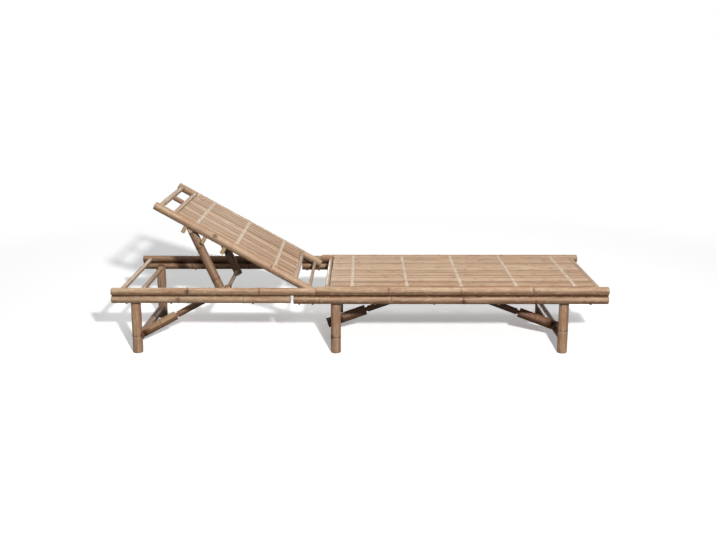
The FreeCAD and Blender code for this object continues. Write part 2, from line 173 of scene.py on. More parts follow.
lamps = {
    "key": {"place": (0.75, -4.5, 2.1), "aim": (0.0, 0.2, 0.15), "size": 0.2, "watts": 260},
    "top": {"place": (0.3, -0.2, 3.3), "aim": (0.0, 0.0, 0.2), "size": 2.6, "watts": 20},
    "back": {"place": (-0.9, 3.9, 0.45), "aim": (0.0, 0.0, 0.25), "size": 1.0, "watts": 75},
}
for lampName, lamp in lamps.items():
    lampData = bpy.data.lights.new(lampName + "Lamp", "AREA")
    lampData.shape = "DISK"
    lampData.size = lamp["size"]
    lampData.energy = lamp["watts"]
    lampObject = bpy.data.objects.new(lampName + "Lamp", lampData)
    bpy.context.scene.collection.objects.link(lampObject)
    lampObject.location = lamp["place"]
    aim = Vector(lamp["aim"]) - Vector(lamp["place"])
    lampObject.rotation_euler = aim.to_track_quat("-Z", "Y").to_euler()

room = {
    "ambient": 0.18, "floorSize": 30.0, "floorTone": 0.42,
    "fadeFrom": 2.4, "fadeTo": 3.4,  # the seen floor turns plain white between these distances
    "floorForCamera": 0.133, "floorRise": 1.487,  # seen tone is the first times distance to the second
    # painted light: strength, half size and fade of the camera-only glow on the floor beneath the bed
    "underBed": 0.25, "bedHalf": (1.05, 0.36), "bedFade": 0.35,
}
world = bpy.data.worlds.new("paleRoom")
bpy.context.scene.world = world
world.use_nodes = True
wNodes, wLinks = world.node_tree.nodes, world.node_tree.links
wNodes.clear()
rays = wNodes.new("ShaderNodeLightPath")
seenOrGlossy = wNodes.new("ShaderNodeMath")
seenOrGlossy.operation = "MAXIMUM"
wLinks.new(rays.outputs["Is Camera Ray"], seenOrGlossy.inputs[0])
wLinks.new(rays.outputs["Is Glossy Ray"], seenOrGlossy.inputs[1])
mixSky = wNodes.new("ShaderNodeMixShader")
wLinks.new(seenOrGlossy.outputs[0], mixSky.inputs[0])
for socket, strength in zip(mixSky.inputs[1:], (room["ambient"], 1)):
    sky = wNodes.new("ShaderNodeBackground")
    sky.inputs["Strength"].default_value = strength
    sky.inputs["Color"].default_value = white
    wLinks.new(sky.outputs[0], socket)
skyOut = wNodes.new("ShaderNodeOutputWorld")
wLinks.new(mixSky.outputs[0], skyOut.inputs["Surface"])


# floor: grey to the light; the camera sees it paler with distance from the key lamp, so it stays white
def floorPaint(name, look, keyPlace):
    f = finish(name)
    f.nodes.remove(f.skin)
    seen = f.nodes.new("ShaderNodeLightPath").outputs["Is Camera Ray"]
    place = f.nodes.new("ShaderNodeTexCoord").outputs["Object"]
    paint = f.nodes.new("ShaderNodeBsdfDiffuse")
    keyRise = f.math("POWER", f.measure("DISTANCE", place, keyPlace), look["floorRise"])
    keyPale = f.math("MULTIPLY", keyRise, look["floorForCamera"])
    f.link(f.mix(seen, (look["floorTone"],) * 3 + (1,), keyPale), paint.inputs["Color"])
    # painted light: a faint glow on the floor beneath the bed, seen by the camera only, that lightens the
    # bed's shadow there
    split = f.nodes.new("ShaderNodeSeparateXYZ")
    f.link(place, split.inputs[0])
    under = seen
    for axis, half in enumerate(look["bedHalf"]):
        away = f.math("ABSOLUTE", split.outputs[axis], 0)
        near = f.scaled(away, half, half + look["bedFade"], 1, 0, "SMOOTHSTEP")
        under = f.math("MULTIPLY", under, near)
    underGlow = f.nodes.new("ShaderNodeEmission")
    underGlow.inputs["Color"].default_value = white
    f.link(f.math("MULTIPLY", under, look["underBed"]), underGlow.inputs["Strength"])
    # plain white far away
    plain = f.nodes.new("ShaderNodeEmission")
    plain.inputs["Color"].default_value = white
    plain.inputs["Strength"].default_value = 1
    fade = f.scaled(f.measure("LENGTH", place), look["fadeFrom"], look["fadeTo"], 0, 1, "SMOOTHSTEP")
    close = f.blended("ShaderNodeAddShader", paint.outputs[0], underGlow.outputs[0])
    farAndSeen = f.math("MULTIPLY", fade, seen)
    whole = f.blended("ShaderNodeMixShader", farAndSeen, close, plain.outputs[0])
    f.link(whole, f.nodes["Material Output"].inputs["Surface"])
    return f.material


bpy.ops.object.select_all(action="DESELECT")
bpy.ops.mesh.primitive_plane_add(size=room["floorSize"], location=(0, 0, 0))
floor = bpy.context.object
floor.name = "paleFloor"
# the back lamp brightens the far side of the recliner and leaves the floor alone
floorOnly = bpy.data.collections.new("floorOnly")
floorOnly.objects.link(floor)
bpy.data.objects["backLamp"].light_linking.receiver_collection = floorOnly
floorOnly.collection_objects[0].light_linking.link_state = "EXCLUDE"
floor.data.materials.append(floorPaint("paleFloorPaint", room, lamps["key"]["place"]))
print("camera, lamps and floor ready")


# finishes

# noise scales per metre of cane: across, across, along; then detail and roughness
poleGrain = {
    "streak": ((150, 150, 3.2), 5, 0.65), "blotch": ((34, 34, 8), 3, 0.55),
    "fibre": ((900, 900, 9), 3, 0.65), "stain": ((75, 75, 9), 4, 0.6),
    "speck": ((210, 210, 70), 2, 0.5), "mottle": ((120, 120, 40), 3, 0.6),
}
# which noise, its value where the colour starts and where it is full, how strong, which colour
poleLayers = (
    ("blotch", 0.50, 0.72, 0.75, "warm"), ("blotch", 0.46, 0.26, 0.6, "cool"),
    ("fibre", 0.35, 0.68, 0.35, "fibre"), ("stain", 0.54, 0.70, "stains", "stain"),
    ("speck", 0.64, 0.72, 0.6, "stain"),
)
mottleLayers = (("mottle", 0.53, 0.66, "mottles", "dark"), ("mottle", 0.46, 0.34, "paleMottles", "light"))


# lays the listed colours over the first one, each where its noise is high or low
def layered(f, colour, noises, layers, look):
    for noiseName, start, full, share, colourName in layers:
        share = look[share] if isinstance(share, str) else share
        colour = f.mix(f.scaled(noises[noiseName], start, full, 0, share), colour, look[colourName])
    return colour


# cane skin with lengthwise streaks, blotches, specks and node scars
def bambooSkin(name, look):
    f = finish(name)
    grain = f.attribute("grain", "Vector")
    tone = f.attribute("tone")
    noises = {kind: f.noise(grain, *setting) for kind, setting in poleGrain.items()}
    streak = noises["streak"]
    colour = f.ramp(streak, (0.34, look["dark"]), (0.50, look["base"]), (0.66, look["light"]))
    colour = layered(f, colour, noises, poleLayers, look)
    colour = f.mix(f.attribute("bloom"), colour, look["bloom"])
    colour = f.mix(f.math("MULTIPLY", f.attribute("scar"), look["scarStrength"]), colour, look["scar"])
    # painted shade: the skin is painted greyer and darker where it faces down, a little less where it faces
    # sideways, and left as it is where it faces up
    paintedShadeByFacing = f.scaled(f.attribute("paintedShadeFacing"), -0.36, 0.83, 0, 1)
    paintedShades = f.ramp(paintedShadeByFacing, (0.0, look["under"]), (0.5, look["paintedFront"]), (1.0, look["unshadedTop"]))
    colour = f.mix(1.0, colour, paintedShades, "MULTIPLY")
    colour = layered(f, colour, noises, mottleLayers, look)
    colour = f.mix(f.attribute("knot"), colour, look["knot"])
    # painted shade: a dark band where an upper and a lower rail meet, broken a little by the mottle noise
    seam = f.math("MULTIPLY", f.attribute("seam"), f.scaled(noises["mottle"], 0.4, 0.56, 0.7, 1))
    colour = f.mix(seam, colour, look["seam"])
    colour = f.mix(f.scaled(tone, 0.5, 0.0, 0, 1), colour, look["shade"], "MULTIPLY")
    colour = f.mix(f.scaled(tone, 0.5, 1.0, 0, 0.35), colour, look["light"])
    colour = f.mix(f.attribute("inside"), colour, look["inside"])
    f.link(colour, f.skin.inputs["Base Color"])
    rough = f.scaled(streak, 0.3, 0.7, look["rough"] - 0.07, look["rough"] + 0.1)
    f.link(rough, f.skin.inputs["Roughness"])
    f.skin.inputs["Specular IOR Level"].default_value = 0.35
    height = f.math("ADD", f.math("MULTIPLY", noises["fibre"], 0.5), f.math("MULTIPLY", streak, 0.5))
    f.bump(height, 0.00035, 0.6)
    return f.material


poleLook = {
    "base": rgb(192, 160, 128), "dark": rgb(140, 104, 76), "light": rgb(222, 196, 166),
    "warm": rgb(176, 124, 92), "cool": rgb(196, 172, 132), "fibre": rgb(150, 114, 84),
    "stain": rgb(112, 76, 52), "stains": 0.5, "bloom": rgb(212, 186, 156), "scar": rgb(92, 62, 42),
    "shade": rgb(170, 152, 140), "inside": rgb(98, 66, 44), "rough": 0.5,
    # painted shade: the first three colours below are for faces turned down, faces turned sideways and the
    # crease where two rails meet; white at the end leaves faces turned up unshaded
    "under": rgb(152, 140, 130), "paintedFront": rgb(190, 183, 176), "seam": rgb(80, 48, 30),
    "knot": rgb(70, 42, 26), "mottles": 0.45, "paleMottles": 0.18, "scarStrength": 0.85, "unshadedTop": white,
}
smokedLook = dict(
    poleLook, base=rgb(150, 112, 84), dark=rgb(112, 78, 54), light=rgb(176, 138, 106),
    warm=rgb(142, 94, 66), cool=rgb(150, 122, 88), fibre=rgb(98, 66, 45), stain=rgb(72, 47, 31), stains=0.6,
    bloom=rgb(172, 140, 108), scar=rgb(60, 38, 25),
)
braceLooks = {
    "head": dict(poleLook, base=rgb(168, 130, 98), dark=rgb(132, 96, 70), light=rgb(190, 154, 120)),
    "middle": dict(smokedLook, base=rgb(128, 94, 68), dark=rgb(92, 64, 44), light=rgb(154, 118, 88)),
    "foot": dict(smokedLook, base=rgb(132, 92, 68), dark=rgb(94, 60, 44), light=rgb(158, 112, 84)),
}
braceSkins = {setName: bambooSkin(setName + "BraceBamboo", look) for setName, look in braceLooks.items()}
poleSkin = bambooSkin("bambooPole", poleLook)
smokedSkin = bambooSkin("smokedBamboo", smokedLook)


# the same for the split cane of the slats
slatGrain = {
    "streak": ((300, 300, 5), 5, 0.65), "blotch": ((60, 60, 9), 3, 0.55),
    "fibre": ((1500, 1500, 14), 3, 0.65), "stain": ((60, 60, 16), 4, 0.6),
    "patch": ((130, 130, 22), 3, 0.6),
}
slatLayers = (
    ("blotch", 0.50, 0.70, 0.8, "warm"), ("blotch", 0.46, 0.28, 0.7, "pale"),
    ("fibre", 0.35, 0.68, 0.35, "fibre"), ("stain", 0.58, 0.74, 0.5, "stain"),
    ("patch", 0.53, 0.64, 0.5, "dark"), ("patch", 0.44, 0.32, 0.4, "light"),
)


# split cane: flat fibre face, tone by slat, scars and smudges at its nodes
def slatFace(name, look):
    f = finish(name)
    grain = f.attribute("grain", "Vector")
    tone = f.attribute("tone")
    offNode = f.math("ABSOLUTE", f.math("SUBTRACT", f.math("FRACT", f.attribute("phase"), 0), 0.5), 0)
    nearNode = f.scaled(offNode, 0.008, 0.055, 1, 0)
    smear = f.noise(grain, (170, 170, 60), 2, 0.5)
    smudge = f.math("MULTIPLY", nearNode, f.scaled(smear, 0.42, 0.62, 0, 1))
    noises = {kind: f.noise(grain, *setting) for kind, setting in slatGrain.items()}
    streak, fibre = noises["streak"], noises["fibre"]
    colour = f.ramp(streak, (0.34, look["dark"]), (0.50, look["base"]), (0.66, look["light"]))
    colour = layered(f, colour, noises, slatLayers, look)
    colour = f.mix(f.scaled(tone, 0.5, 0.0, 0, 0.85), colour, look["shade"], "MULTIPLY")
    colour = f.mix(f.scaled(tone, 0.5, 1.0, 0, 0.5), colour, look["light"])
    colour = f.mix(f.math("MULTIPLY", smudge, 0.55), colour, look["stain"])
    # painted shade: the sides and rounded edges of each slat are painted dark brown, standing in for shade
    # in the gaps between slats
    colour = f.mix(f.math("MULTIPLY", f.attribute("edge"), 0.8), colour, look["edge"])
    colour = f.mix(f.math("MULTIPLY", f.attribute("scar"), 0.35), colour, look["scar"])
    f.link(colour, f.skin.inputs["Base Color"])
    f.link(f.scaled(fibre, 0.3, 0.7, 0.5, 0.68), f.skin.inputs["Roughness"])
    f.skin.inputs["Specular IOR Level"].default_value = 0.3
    f.bump(f.math("ADD", f.math("MULTIPLY", fibre, 0.6), f.math("MULTIPLY", streak, 0.4)), 0.0003, 0.7)
    return f.material


slatLook = {
    "base": rgb(219, 187, 153), "dark": rgb(164, 127, 94), "light": rgb(242, 216, 186),
    "warm": rgb(208, 160, 124), "pale": rgb(222, 196, 162), "fibre": rgb(168, 130, 98),
    # the last colour here is the painted shade of the slats' sides and rounded edges
    "stain": rgb(140, 98, 68), "shade": rgb(186, 166, 152), "edge": rgb(128, 90, 62),
    "scar": rgb(150, 112, 82),
}
slatSkin = slatFace("splitBamboo", slatLook)


# pale peeled cane of the lashings
def caneStrip(name, look):
    f = finish(name)
    grain = f.attribute("grain", "Vector")
    fibre = f.noise(grain, (1400, 1400, 60), 3, 0.6)
    patch = f.noise(grain, (90, 90, 90), 3, 0.6)
    colour = f.ramp(fibre, (0.3, look["dark"]), (0.5, look["base"]), (0.7, look["light"]))
    colour = f.mix(f.scaled(patch, 0.52, 0.72, 0, 0.8), colour, look["aged"])
    colour = f.mix(f.attribute("tone"), colour, look["worn"])
    f.link(colour, f.skin.inputs["Base Color"])
    f.skin.inputs["Roughness"].default_value = 0.55
    f.bump(fibre, 0.0002, 0.6)
    return f.material


caneSkin = caneStrip("paleCane", {
    "base": rgb(226, 210, 190), "dark": rgb(200, 178, 152), "light": rgb(242, 232, 218),
    "aged": rgb(204, 180, 152), "worn": rgb(190, 160, 128),
})


# dowel wood: dark on the pegs, paler on the catch dowels and the axle; read from object coordinates
def pegWood(name, look):
    f = finish(name)
    place = f.nodes.new("ShaderNodeTexCoord").outputs["Object"]
    fleck = f.noise(place, (420, 420, 420), 4, 0.6)
    patch = f.noise(place, (60, 60, 60), 3, 0.6)
    colour = f.ramp(fleck, (0.32, look["dark"]), (0.52, look["base"]), (0.72, look["light"]))
    colour = f.mix(f.scaled(patch, 0.45, 0.7, 0, 0.7), colour, look["worn"])
    f.link(colour, f.skin.inputs["Base Color"])
    f.skin.inputs["Roughness"].default_value = 0.62
    f.bump(fleck, 0.0003, 0.6)
    return f.material


pegSkin = pegWood("darkPeg", {
    "base": rgb(112, 76, 50), "dark": rgb(74, 48, 31), "light": rgb(140, 102, 72),
    "worn": rgb(150, 112, 80),
})
paleRodSkin = pegWood("paleRod", {
    "base": rgb(184, 150, 116), "dark": rgb(146, 112, 82), "light": rgb(206, 176, 144),
    "worn": rgb(168, 130, 98),
})
catchSkin = pegWood("catchWood", {
    "base": rgb(158, 132, 98), "dark": rgb(116, 94, 68), "light": rgb(182, 154, 118),
    "worn": rgb(154, 126, 90),
})
print("finishes ready")


# modelling helpers

# make this the one selected and active object
def only(piece):
    bpy.ops.object.select_all(action="DESELECT")
    piece.select_set(True)
    bpy.context.view_layer.objects.active = piece


# one number for each point of the mesh, read by the finish
def setValues(piece, name, values):
    stored = piece.data.attributes
    layer = stored.get(name) or stored.new(name, "FLOAT", "POINT")
    layer.data.foreach_set("value", values)


# where each point lies in the grain of the wood
def setGrain(piece, points):
    stored = piece.data.attributes
    layer = stored.get("grain") or stored.new("grain", "FLOAT_VECTOR", "POINT")
    layer.data.foreach_set("vector", [part for point in points for part in point])


# place into the mesh, smooth the round faces, give the finish
def settle(piece, name, skin, smoothAngle=40):
    only(piece)
    bpy.ops.object.transform_apply(location=True, rotation=True, scale=True)
    bpy.ops.object.shade_smooth_by_angle(angle=math.radians(smoothAngle))
    piece.name = name
    piece.data.name = name
    piece.data.materials.clear()
    piece.data.materials.append(skin)
    return piece


def joined(pieces, name):
    only(pieces[0])
    for piece in pieces[1:]:
        piece.select_set(True)
    bpy.ops.object.join()
    pieces[0].name = name
    pieces[0].data.name = name
    return pieces[0]


# the piece moves with a body and takes the place of a node of the frame
def standFor(piece, body, slot, *nodes):
    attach(piece, body)
    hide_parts(*nodes)


# rings around a node: distance from it in mm, and height above the skin as a share of the rise
nodeShape = (
    (-15.0, 0.0), (-6.0, 0.25), (-2.2, 0.5), (-1.0, 1.0), (-0.1, 0.95), (0.9, 0.05),
    (2.6, 0.8), (5.0, 0.7), (9.0, 0.2), (16.0, 0.0),
)
culmSettings = {
    "sides": 28, "nodeRise": 0.7 * mm, "ringStep": 75 * mm, "waver": 0.22 * mm,
    "clearOfEnd": 4 * mm, "clearOfNode": 25 * mm, "lastNode": 16 * mm,
    "wall": 0.6, "hollowDepth": 30 * mm, "rim": 4.0 * mm, "endRound": 2.5 * mm,
    "domeAngles": (84, 66, 48, 30, 14),
}
# how scars, blooms, knots, the painted crease shade and cut ends lie on a pole
markSettings = {
    "scarPast": 0.4 * mm, "scarFade": ((0.8 * mm, 1.0), (1.6 * mm, 0.8), (2.7 * mm, 0.35)),
    "bloomFrom": 1.5 * mm, "bloomTo": 8 * mm, "nodeReach": 2 * mm, "knotGain": 1.5, "knotMost": 0.9,
    "seamFrom": 0.6, "seamFade": 0.25, "boreShare": 0.78, "boreFrom": 1.2 * mm, "cutDepth": 0.3 * mm,
    "cutTone": 0.45, "thinCutTone": 0.1, "thinBelow": 12 * mm,
}


# rings of one end from the inside out: hollow, rounded off, or plain with a worn edge
def endRings(kind, place, inward, radius, skin):
    s = culmSettings
    rim, worn = s["rim"], s["endRound"]
    if kind == "hollow":
        hollow = radius * s["wall"]
        steps = (
            (s["hollowDepth"], hollow * 0.9), (1.4 * mm, hollow), (0.0, hollow + 0.5 * mm),
            (0.0, skin - rim), (rim * 0.3, skin - rim * 0.3), (rim, skin), (6 * mm, skin),
        )
    elif kind == "dome":
        angles = [math.radians(angle) for angle in s["domeAngles"]]
        steps = [(skin * (1 - math.sin(angle)), skin * math.cos(angle)) for angle in angles]
    else:
        steps = ((0.0, skin - worn), (worn * 0.3, skin - worn * 0.3), (worn, skin))
    return [(place + inward * depth, size) for depth, size in steps]


# rings of a cane pole as (distance, radius), from inside one end to inside the other
def culmRings(length, radius, nodes, ends, rng):
    s = culmSettings
    skin = radius - s["nodeRise"]
    body = {}
    for node in nodes:
        for offset, share in nodeShape:
            at = node + offset * mm
            if s["clearOfEnd"] < at < length - s["clearOfEnd"]:
                body[round(at, 5)] = skin + share * s["nodeRise"]
    at = s["ringStep"]
    while at < length - s["ringStep"] / 2:
        if all(abs(at - node) > s["clearOfNode"] for node in nodes):
            body[round(at, 5)] = skin + rng.uniform(-s["waver"], s["waver"])
        at += s["ringStep"]
    first = endRings(ends[0], 0.0, 1, radius, skin)
    last = endRings(ends[1], length, -1, radius, skin)
    return first + sorted(body.items()) + last[::-1]


# a disc pushed along ring by ring, each ring sized, aside with the bow of the cane
def pushRings(rings, sway):
    bpy.ops.object.select_all(action="DESELECT")
    z, r = rings[0]
    sides = culmSettings["sides"]
    bpy.ops.mesh.primitive_circle_add(vertices=sides, radius=r, fill_type="NGON", location=(0, 0, z))
    piece = bpy.context.object
    only(piece)
    bpy.ops.object.transform_apply(location=True, rotation=True, scale=True)
    bpy.ops.object.mode_set(mode="EDIT")
    bpy.ops.mesh.select_all(action="SELECT")
    for nextZ, nextR in rings[1:]:
        was, now = sway(z), sway(nextZ)
        step = (now[0] - was[0], now[1] - was[1], nextZ - z)
        bpy.ops.mesh.extrude_region_move(TRANSFORM_OT_translate={"value": step})
        share = nextR / r
        bpy.ops.transform.resize(value=(share, share, 1), center_override=(now[0], now[1], nextZ))
        z, r = nextZ, nextR
    bpy.ops.mesh.select_all(action="SELECT")
    bpy.ops.mesh.normals_make_consistent(inside=False)
    bpy.ops.object.mode_set(mode="OBJECT")
    return piece


# a scar, bloom and knot for every node; the knots look to one side where that is given
def nodeMarks(nodes, turn, knotSide, knotSizes, rng):
    marks = [
        {
            "scar": rng.uniform(0.3, 0.9), "bloom": rng.choice((0.0, 0.2, 0.45)),
            "knot": rng.choice((0.3, 0.7, 1.0)), "angle": rng.uniform(-math.pi, math.pi),
            "size": rng.uniform(9, 16) * mm,
        }
        for node in nodes or [0]
    ]
    if knotSide:
        side = turn.transposed() @ Vector(knotSide)
        for mark, strength in zip(marks, knotSizes):
            mark["angle"] = math.atan2(side.y, side.x) + mark["angle"] * 0.15
            mark["knot"] = strength
            mark["size"] = (5 + 6 * strength) * mm
    return marks


# what the finish reads at one point of a pole, whose middle line stands aside there by its bow
def pointLooks(point, cane, marks, turn, asideX, asideY):
    m, radius, nodes = markSettings, cane["radius"], cane["nodes"]
    off = min([abs(point.z - node - m["scarPast"]) for node in nodes], default=1)
    before = min([node - point.z for node in nodes if node > point.z - m["nodeReach"]], default=1)
    mark = marks[0]
    if nodes:
        mark = min(zip(nodes, marks), key=lambda pair: abs(point.z - pair[0]))[1]
    angle = math.atan2(point.y, point.x) - mark["angle"]
    around = abs((angle + math.pi) % (2 * math.pi) - math.pi) * radius
    spread = math.hypot(around, off) / mark["size"]
    upward = (turn @ Vector((point.x, point.y, 0))).normalized().z
    fromEnd = min(point.z, cane["length"] - point.z)
    out = math.hypot(point.x - asideX, point.y - asideY)
    inside = 0.0
    if out < radius * m["boreShare"] and m["boreFrom"] < fromEnd < culmSettings["hollowDepth"] + mm:
        inside = 1.0
    elif fromEnd < m["cutDepth"]:
        inside = m["cutTone"] if radius > m["thinBelow"] else m["thinCutTone"]
    return {
        "scar": mark["scar"] * next((share for reach, share in m["scarFade"] if off < reach), 0.0),
        "bloom": mark["bloom"] if m["bloomFrom"] < before < m["bloomTo"] else 0.0,
        "inside": inside,
        "tone": cane["tone"],
        "knot": min(m["knotMost"], mark["knot"] * m["knotGain"] * max(0.0, 1.0 - spread ** 2)),
        # painted shade: how far the skin faces up, or a fixed value where one is given
        "paintedShadeFacing": upward if cane["paintedShadeFacing"] is None else cane["paintedShadeFacing"],
        # painted shade: the dark band on the side of a rail turned to the other rail
        "seam": min(1.0, max(0.0, (upward * cane["seam"] - m["seamFrom"]) / m["seamFade"])),
    }


# cane pole from start along way; nodes are distances from its start
def makeCulm(
    name, start, way, length, radius, nodes, ends=("plain", "plain"), skin=None, tone=0.5,
    bow=0.0, paintedShadeFacing=None, seam=0, knotSide=None, knotSizes=(),
):
    rng = random.Random(name)
    rings = culmRings(length, radius, nodes, ends, rng)
    lean = rng.uniform(0, 2 * math.pi)

    def sway(at):
        amount = bow * math.sin(math.pi * min(1, max(0, at / length)))
        return amount * math.cos(lean), amount * math.sin(lean)

    piece = pushRings(rings, sway)
    points = [vertex.co.copy() for vertex in piece.data.vertices]
    shift = Vector((rng.uniform(-3, 3), rng.uniform(-3, 3), rng.uniform(-9, 9)))
    setGrain(piece, [point + shift for point in points])
    turn = alongZ.rotation_difference(way).to_matrix()
    marks = nodeMarks(nodes, turn, knotSide, knotSizes, rng)
    cane = {
        "length": length, "radius": radius, "nodes": nodes, "tone": tone, "paintedShadeFacing": paintedShadeFacing, "seam": seam,
    }
    looks = [pointLooks(point, cane, marks, turn, *sway(point.z)) for point in points]
    for kind in looks[0]:
        setValues(piece, kind, [look[kind] for look in looks])
    piece.matrix_world = Matrix.Translation(start) @ turn.to_4x4()
    return settle(piece, name, skin or poleSkin)


# cane bar from side to side; nodes are millimetres from its middle
def makeBar(name, middle, half, radius, nodes, skin=None, tone=0.5):
    places = [half + node * mm for node in nodes]
    return makeCulm(name, middle - alongY * half, alongY, 2 * half, radius, places, skin=skin, tone=tone)


# takes the second piece away from the first
def carve(piece, cutter):
    only(piece)
    cut = piece.modifiers.new("seatCut", "BOOLEAN")
    cut.operation = "DIFFERENCE"
    cut.solver = "EXACT"
    cut.object = cutter
    bpy.ops.object.modifier_apply(modifier=cut.name)
    bpy.data.objects.remove(cutter)


# node places along a pole, one pitch apart from the first one on
def evenNodes(length, pitch, first):
    places = []
    at = first
    while at < length - culmSettings["lastNode"]:
        places.append(at)
        at += pitch
    return places


# side rails

sides = (("Left", "_left", 1), ("Right", "_right", -1))
rails = {
    "y": 306 * mm, "split": 251 * mm, "settle": 0.9 * mm,
    "shiftLeft": -46 * mm, "farPaintedShade": 0.22, "knotSide": (0, -1, 0.15),
    "parts": {
        "headUpper": {
            "node": "head_upper_rail", "from": -1000 * mm, "to": -177.25 * mm, "radius": 16.5 * mm,
            "above": 1, "pitch": 288 * mm, "first": 308 * mm, "bow": 0.5 * mm, "tone": 0.52,
            "knotSizes": (1.0, 0.3),
        },
        "seatUpper": {
            "node": "seat_upper_rail", "from": -176.75 * mm, "to": 1000 * mm, "radius": 18.95 * mm,
            "above": 1, "pitch": 290 * mm, "first": 292 * mm, "bow": 0.0, "tone": 0.45,
            "knotSizes": (0.35, 0.2, 0.5, 0.2),
        },
        "headLower": {
            "node": "head_lower_rail", "from": -1000 * mm, "to": -279 * mm, "radius": 16.5 * mm,
            "above": -1, "pitch": 261 * mm, "first": 271 * mm, "bow": 0.5 * mm, "tone": 0.62,
            "knotSizes": (1.0, 0.2, 0.3),
        },
        "seatLower": {
            "node": "seat_lower_rail", "from": -267 * mm, "to": 1000 * mm, "radius": 18 * mm,
            "above": -1, "pitch": 290 * mm, "first": 103 * mm, "bow": 0.5 * mm, "tone": 0.46,
            "knotSizes": (0.2, 0.1, 0.9, 0.3, 0.2),
        },
    },
}
for sideName, sideTail, side in sides:
    for part, rail in rails["parts"].items():
        length = rail["to"] - rail["from"]
        shift = rails["shiftLeft"] if side > 0 else 0
        atHead = part.startswith("head")
        # painted shade: the far head rails get a lower tone, so they are painted darker than the near ones
        darker = rails["farPaintedShade"] if side > 0 and atHead else 0
        z = rails["split"] + rail["above"] * (rail["radius"] - rails["settle"])
        piece = makeCulm(
            part + "Rail" + sideName, Vector((rail["from"], side * rails["y"], z)),
            alongX, length, rail["radius"],
            evenNodes(length, rail["pitch"], rail["first"] + shift),
            ("hollow", "plain") if atHead else ("plain", "hollow"),
            # painted shade: the sign turns the crease band toward the other rail of the pair
            tone=max(0.0, rail["tone"] - darker), bow=rail["bow"], seam=-rail["above"],
            knotSide=rails["knotSide"] if side < 0 else None, knotSizes=rail["knotSizes"],
        )
        standFor(piece, "frame", "bamboo_pole", rail["node"] + sideTail)
print("side rails made")


# bars across the frame

crossBars = {
    "headEndBar": {
        "node": "head_end_crossbar", "x": -963 * mm, "z": 267.5 * mm, "radius": 10.5 * mm, "half": 291 * mm,
        "nodes": (-130, 95), "tone": 0.95,
    },
    "seatHeadBar": {
        "node": "seat_head_crossbar", "x": -132 * mm, "z": 270 * mm, "radius": 10.5 * mm, "half": 289 * mm,
        "nodes": (-60, 190), "tone": 0.95,
    },
    "seatFootBar": {
        "node": "seat_foot_crossbar", "x": 963 * mm, "z": 270 * mm, "radius": 12.5 * mm, "half": 289 * mm,
        "nodes": (-170, 70), "tone": 0.9,
    },
    "propFootRod": {
        "node": "prop_foot_rod", "x": -558 * mm, "z": 230 * mm, "radius": 9 * mm, "half": 290 * mm,
        "nodes": (-150, 90), "tone": 0.8,
    },
    "braceAnchorBar": {
        "node": "brace_anchor_bar", "x": 366 * mm, "z": 230 * mm, "radius": 9 * mm, "half": 290 * mm,
        "nodes": (-110, 120), "tone": 0.35,
    },
    "headPivotRod": {
        "node": "head_pivot_rod", "x": -912 * mm, "z": 230 * mm, "radius": 10.9 * mm, "half": 289 * mm,
        "nodes": (-90, 140), "tone": 0.8,
    },
    "middlePivotRod": {
        "node": "middle_pivot_rod", "x": -98 * mm, "z": 230 * mm, "radius": 10.9 * mm, "half": 289 * mm,
        "nodes": (-140, 100), "tone": 0.4,
    },
    "footPivotRod": {
        "node": "foot_pivot_rod", "x": 831 * mm, "z": 230 * mm, "radius": 10.9 * mm, "half": 289 * mm,
        "nodes": (-60, 170), "tone": 0.4,
    },
}
for barName, bar in crossBars.items():
    middle = Vector((bar["x"], 0, bar["z"]))
    piece = makeBar(barName, middle, bar["half"], bar["radius"], bar["nodes"], tone=bar["tone"])
    standFor(piece, "frame", "bamboo_pole", bar["node"])

# places of the battens along X in mm
battens = {"x": (-31.04, 190.05, 409.04, 630.99, 866.96), "z": 273 * mm, "radius": 9 * mm, "half": 289 * mm}
rows = []
for number, x in enumerate(battens["x"]):
    nodes = (-180 + 31 * number, 60 + 17 * number)
    middle = Vector((x * mm, 0, battens["z"]))
    rows.append(makeBar(
        "seatBatten%d" % number, middle, battens["half"], battens["radius"], nodes, smokedSkin,
    ))
standFor(joined(rows, "seatBattens"), "frame", "smoked_bamboo", "seat_battens")
print("crossbars and battens made")


# backrest frame

recline = {"axleX": -205 * mm, "axleZ": 267.5 * mm, "angle": math.radians(29.4)}
backWay = Vector((-math.cos(recline["angle"]), 0, math.sin(recline["angle"])))
backUp = Vector((math.sin(recline["angle"]), 0, math.cos(recline["angle"])))


def backPoint(along, above, y):
    return Vector((recline["axleX"], y, recline["axleZ"])) + backWay * along + backUp * above


